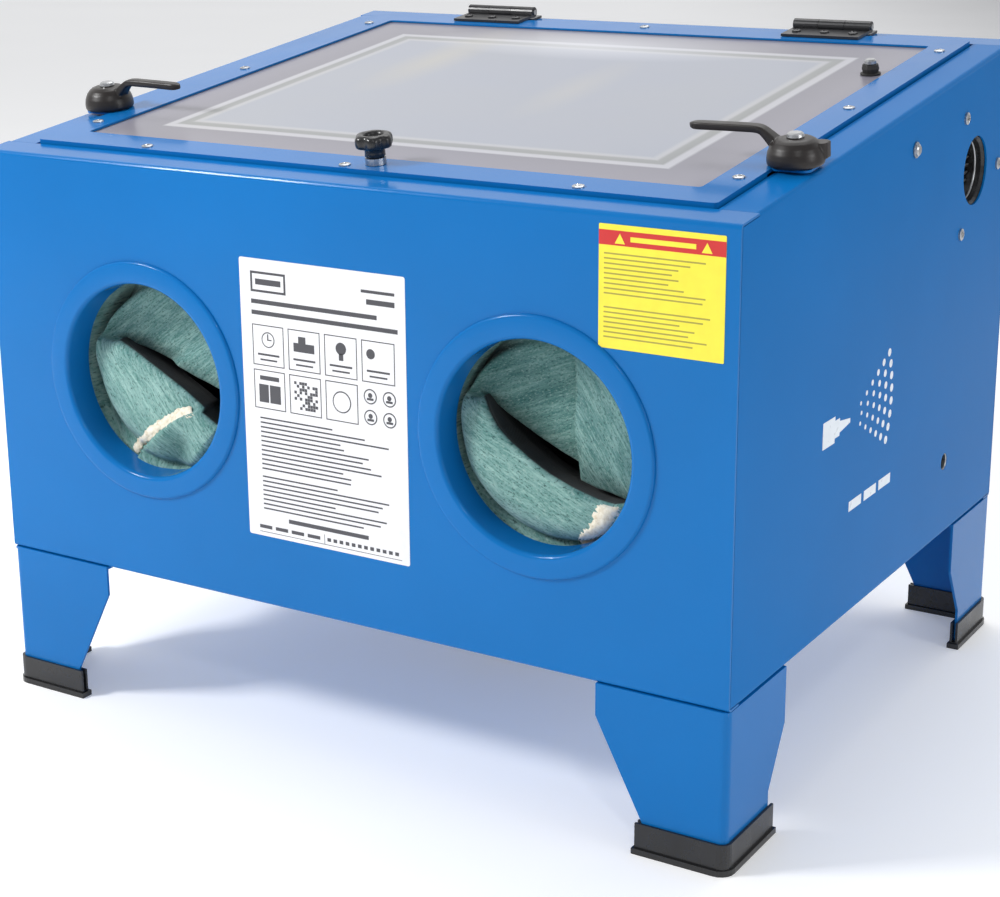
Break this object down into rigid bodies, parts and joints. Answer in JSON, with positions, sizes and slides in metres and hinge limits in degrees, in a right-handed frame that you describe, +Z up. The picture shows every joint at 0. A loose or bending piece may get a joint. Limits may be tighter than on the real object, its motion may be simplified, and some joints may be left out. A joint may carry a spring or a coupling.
{
  "type": "sandblast cabinet",
  "caption": "Bench-top blasting cabinet with arm ports and gloves, a hinged sloping window lid, grate, hopper and gun.",
  "frame": {"origin": "on the ground under the centre of the cabinet's footprint", "axes": "+X to the operator's right along the cabinet's width, +Y from the arm ports to the rear, +Z up"},
  "size_m": [0.598, 0.496, 0.4808],
  "materials": {
    "blue_paint": "glossy powder coat, light orange peel",
    "zinc_steel": "zinc plated, satin",
    "black_plastic": "moulded, satin",
    "handle_plastic": "fine-grained nylon, satin",
    "hinge_steel": "dark zinc, satin",
    "rubber": "matte",
    "foam": "closed-cell foam, matte",
    "canvas": "coated canvas, matte, creased",
    "aluminium": "die cast, satin",
    "ceramic": "fired ceramic, matte",
    "frosted_glass": "milky, with a film on its face",
    "lamp_plastic": "opal diffuser",
    "filter_paper": "pleated paper, matte"
  },
  "bodies": {
    "cabinet": {"front_panel": "blue_paint", "rear_panel": "blue_paint", "left_panel": "blue_paint", "right_panel": "blue_paint", "hopper": "blue_paint", "lid_seat": "blue_paint", "port_ring_left": "blue_paint", "port_ring_right": "blue_paint", "leg_front_left": "blue_paint", "leg_front_right": "blue_paint", "leg_rear_left": "blue_paint", "leg_rear_right": "blue_paint", "work_grate": "zinc_steel", "grate_rail_left": "zinc_steel", "grate_rail_right": "zinc_steel", "glove_clamp_left": "zinc_steel", "glove_clamp_right": "zinc_steel", "air_inlet": "zinc_steel", "gun_hook": "zinc_steel", "gun_hook_screw": "zinc_steel", "pickup_tube": "zinc_steel", "gun_nozzle_nut": "zinc_steel", "gun_trigger_pin": "zinc_steel", "hinge_pin_left": "zinc_steel", "hinge_pin_right": "zinc_steel", "foot_front_left": "black_plastic", "foot_front_right": "black_plastic", "foot_rear_left": "black_plastic", "foot_rear_right": "black_plastic", "exhaust_flange": "black_plastic", "lamp_socket": "black_plastic", "hinge_body_leaf_left": "hinge_steel", "hinge_body_leaf_right": "hinge_steel", "lamp_lead": "rubber", "lid_gasket": "foam", "glove_left": "canvas", "glove_right": "canvas", "lamp_housing": "aluminium", "gun_body": "aluminium", "gun_nozzle": "ceramic", "lamp_lens": "lamp_plastic", "exhaust_filter": "filter_paper"},
    "lid": {"lid_frame": "blue_paint", "window_pane": "frosted_glass", "window_retainer": "blue_paint", "window_bolt": "zinc_steel", "window_grommet": "rubber", "knob_stud": "zinc_steel", "hinge_lid_leaf_left": "hinge_steel", "hinge_lid_leaf_right": "hinge_steel"},
    "lid_knob": {"star_knob": "black_plastic"},
    "latch_left": {"latch_handle_left": "handle_plastic", "latch_spindle_left": "zinc_steel"},
    "latch_right": {"latch_handle_right": "handle_plastic", "latch_spindle_right": "zinc_steel"},
    "trigger": {"gun_trigger": "black_plastic"},
    "drain": {"drain_cap": "black_plastic"}
  },
  "joints": [
    {"name": "lid_hinge", "type": "hinge", "parent": "cabinet", "child": "lid", "pos_m": [0, 0.22914, 0.47634], "axis": [-1, 0, 0], "range_deg": [0, 105]},
    {"name": "latch_right_turn", "type": "hinge", "parent": "lid", "child": "latch_right", "pos_m": [0.278, -0.12995, 0.42272], "axis": [0, -0.128, 0.9918], "range_deg": [0, 90]},
    {"name": "latch_left_turn", "type": "hinge", "parent": "lid", "child": "latch_left", "pos_m": [-0.278, -0.12995, 0.42272], "axis": [0, 0.128, -0.9918], "range_deg": [0, 90]},
    {"name": "knob_turn", "type": "hinge", "parent": "lid", "child": "lid_knob", "pos_m": [0.017, -0.20433, 0.41312], "axis": [0, -0.128, 0.9918], "continuous": true},
    {"name": "trigger_pull", "type": "hinge", "parent": "cabinet", "child": "trigger", "pos_m": [0.262, 0.0105, 0.356], "axis": [-1, 0, 0], "range_deg": [0, 12], "stiffness_Nm_per_rad": 0.4, "springref_deg": -11.46},
    {"name": "drain_cap_pull", "type": "slide", "parent": "cabinet", "child": "drain", "axis": [0, 0, -1], "range_m": [0, 0.014]}
  ]
}
